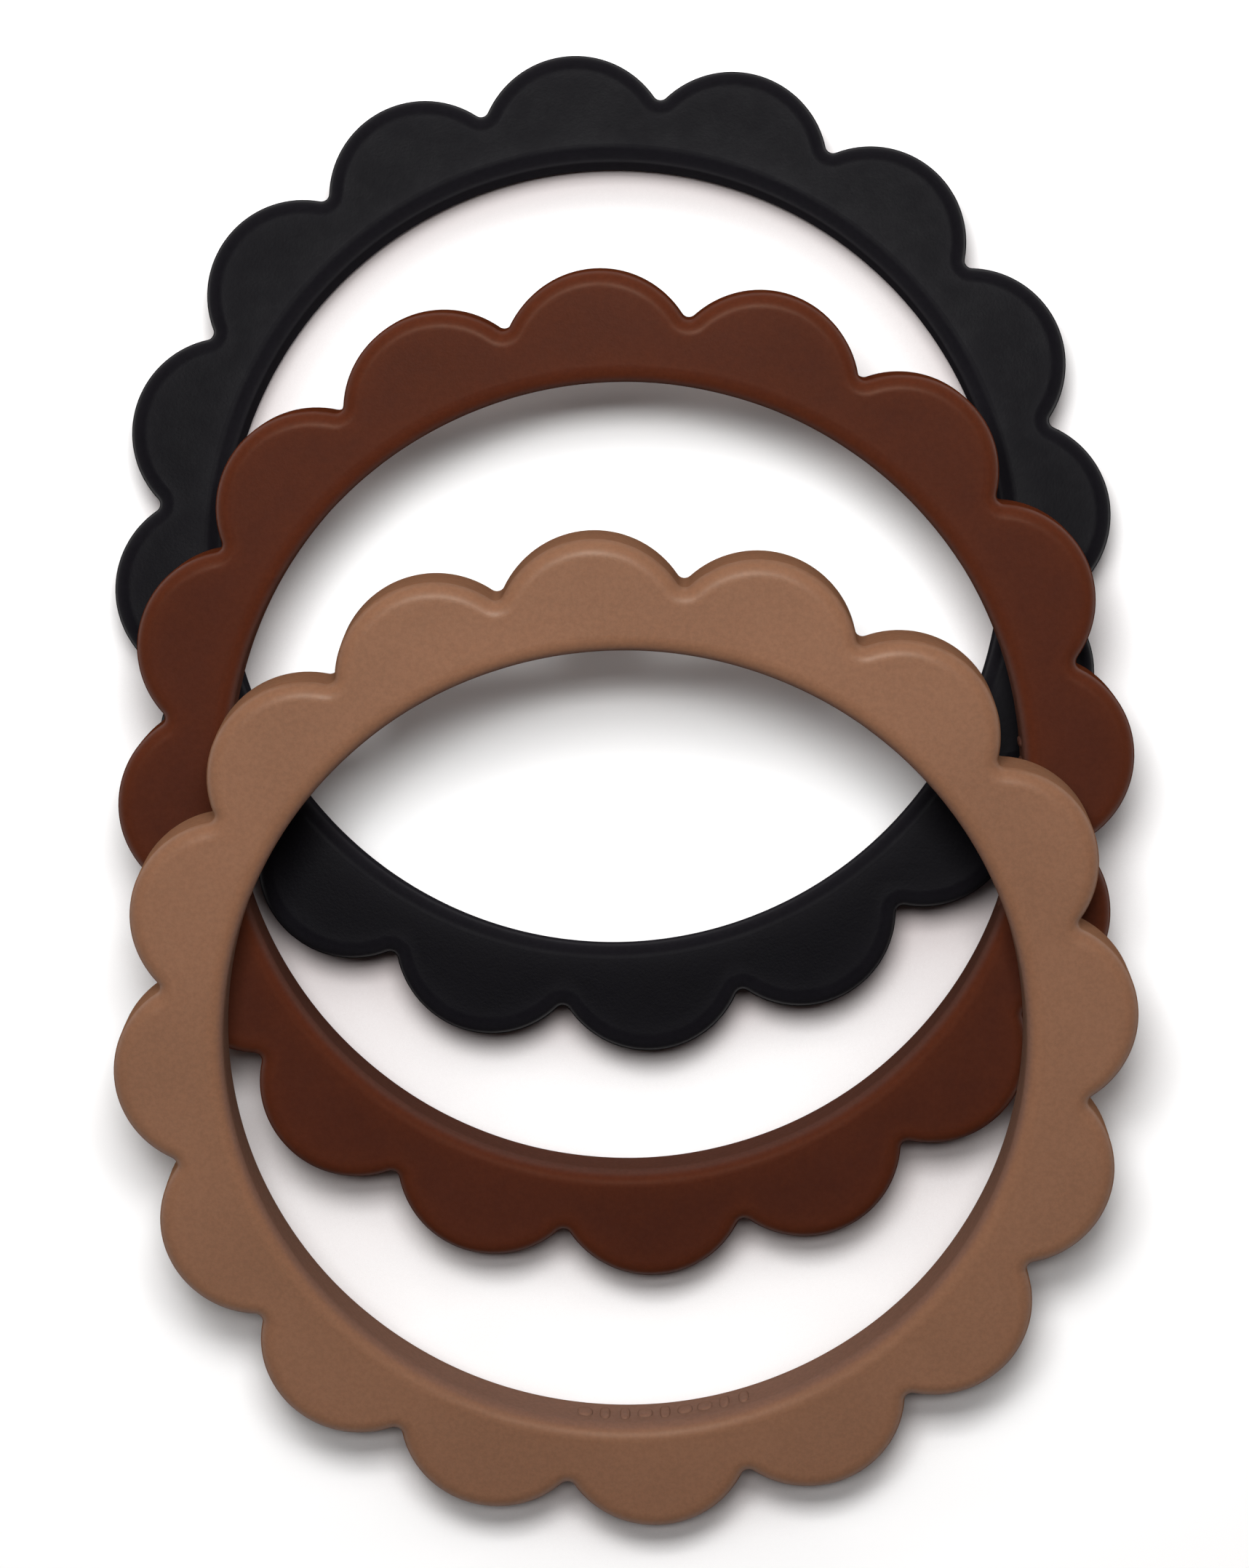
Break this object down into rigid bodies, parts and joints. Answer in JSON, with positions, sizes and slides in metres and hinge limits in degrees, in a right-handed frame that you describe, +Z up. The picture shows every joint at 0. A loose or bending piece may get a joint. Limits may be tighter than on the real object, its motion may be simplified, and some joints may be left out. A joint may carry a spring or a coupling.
{
  "type": "stacking ring toy",
  "caption": "Loose, soft rings with a scalloped rim and a round hole, lying fanned with each ring leaning on the one behind it; each one lifts off.",
  "frame": {"origin": "on the supporting surface, at the centre of the footprint the rings cover as they lie", "axes": "+Z up, out of the supporting surface; the rings fan out along -Y, black at the back and tan at the front; +X to the right when the fan is seen from above with the tan ring nearest"},
  "size_m": [0.0822, 0.1178, 0.0245],
  "materials": {
    "black_silicone": "matte",
    "brown_silicone": "matte",
    "tan_silicone": "matte"
  },
  "bodies": {
    "black": {"black_ring": "black_silicone"},
    "brown": {"brown_ring": "brown_silicone"},
    "tan": {"tan_ring": "tan_silicone"}
  },
  "joints": [
    {"name": "brown_lift", "type": "slide", "parent": "black", "child": "brown", "axis": [0, 0, 1], "range_m": [0, 0.06]},
    {"name": "tan_lift", "type": "slide", "parent": "brown", "child": "tan", "axis": [0, 0, 1], "range_m": [0, 0.06]}
  ]
}
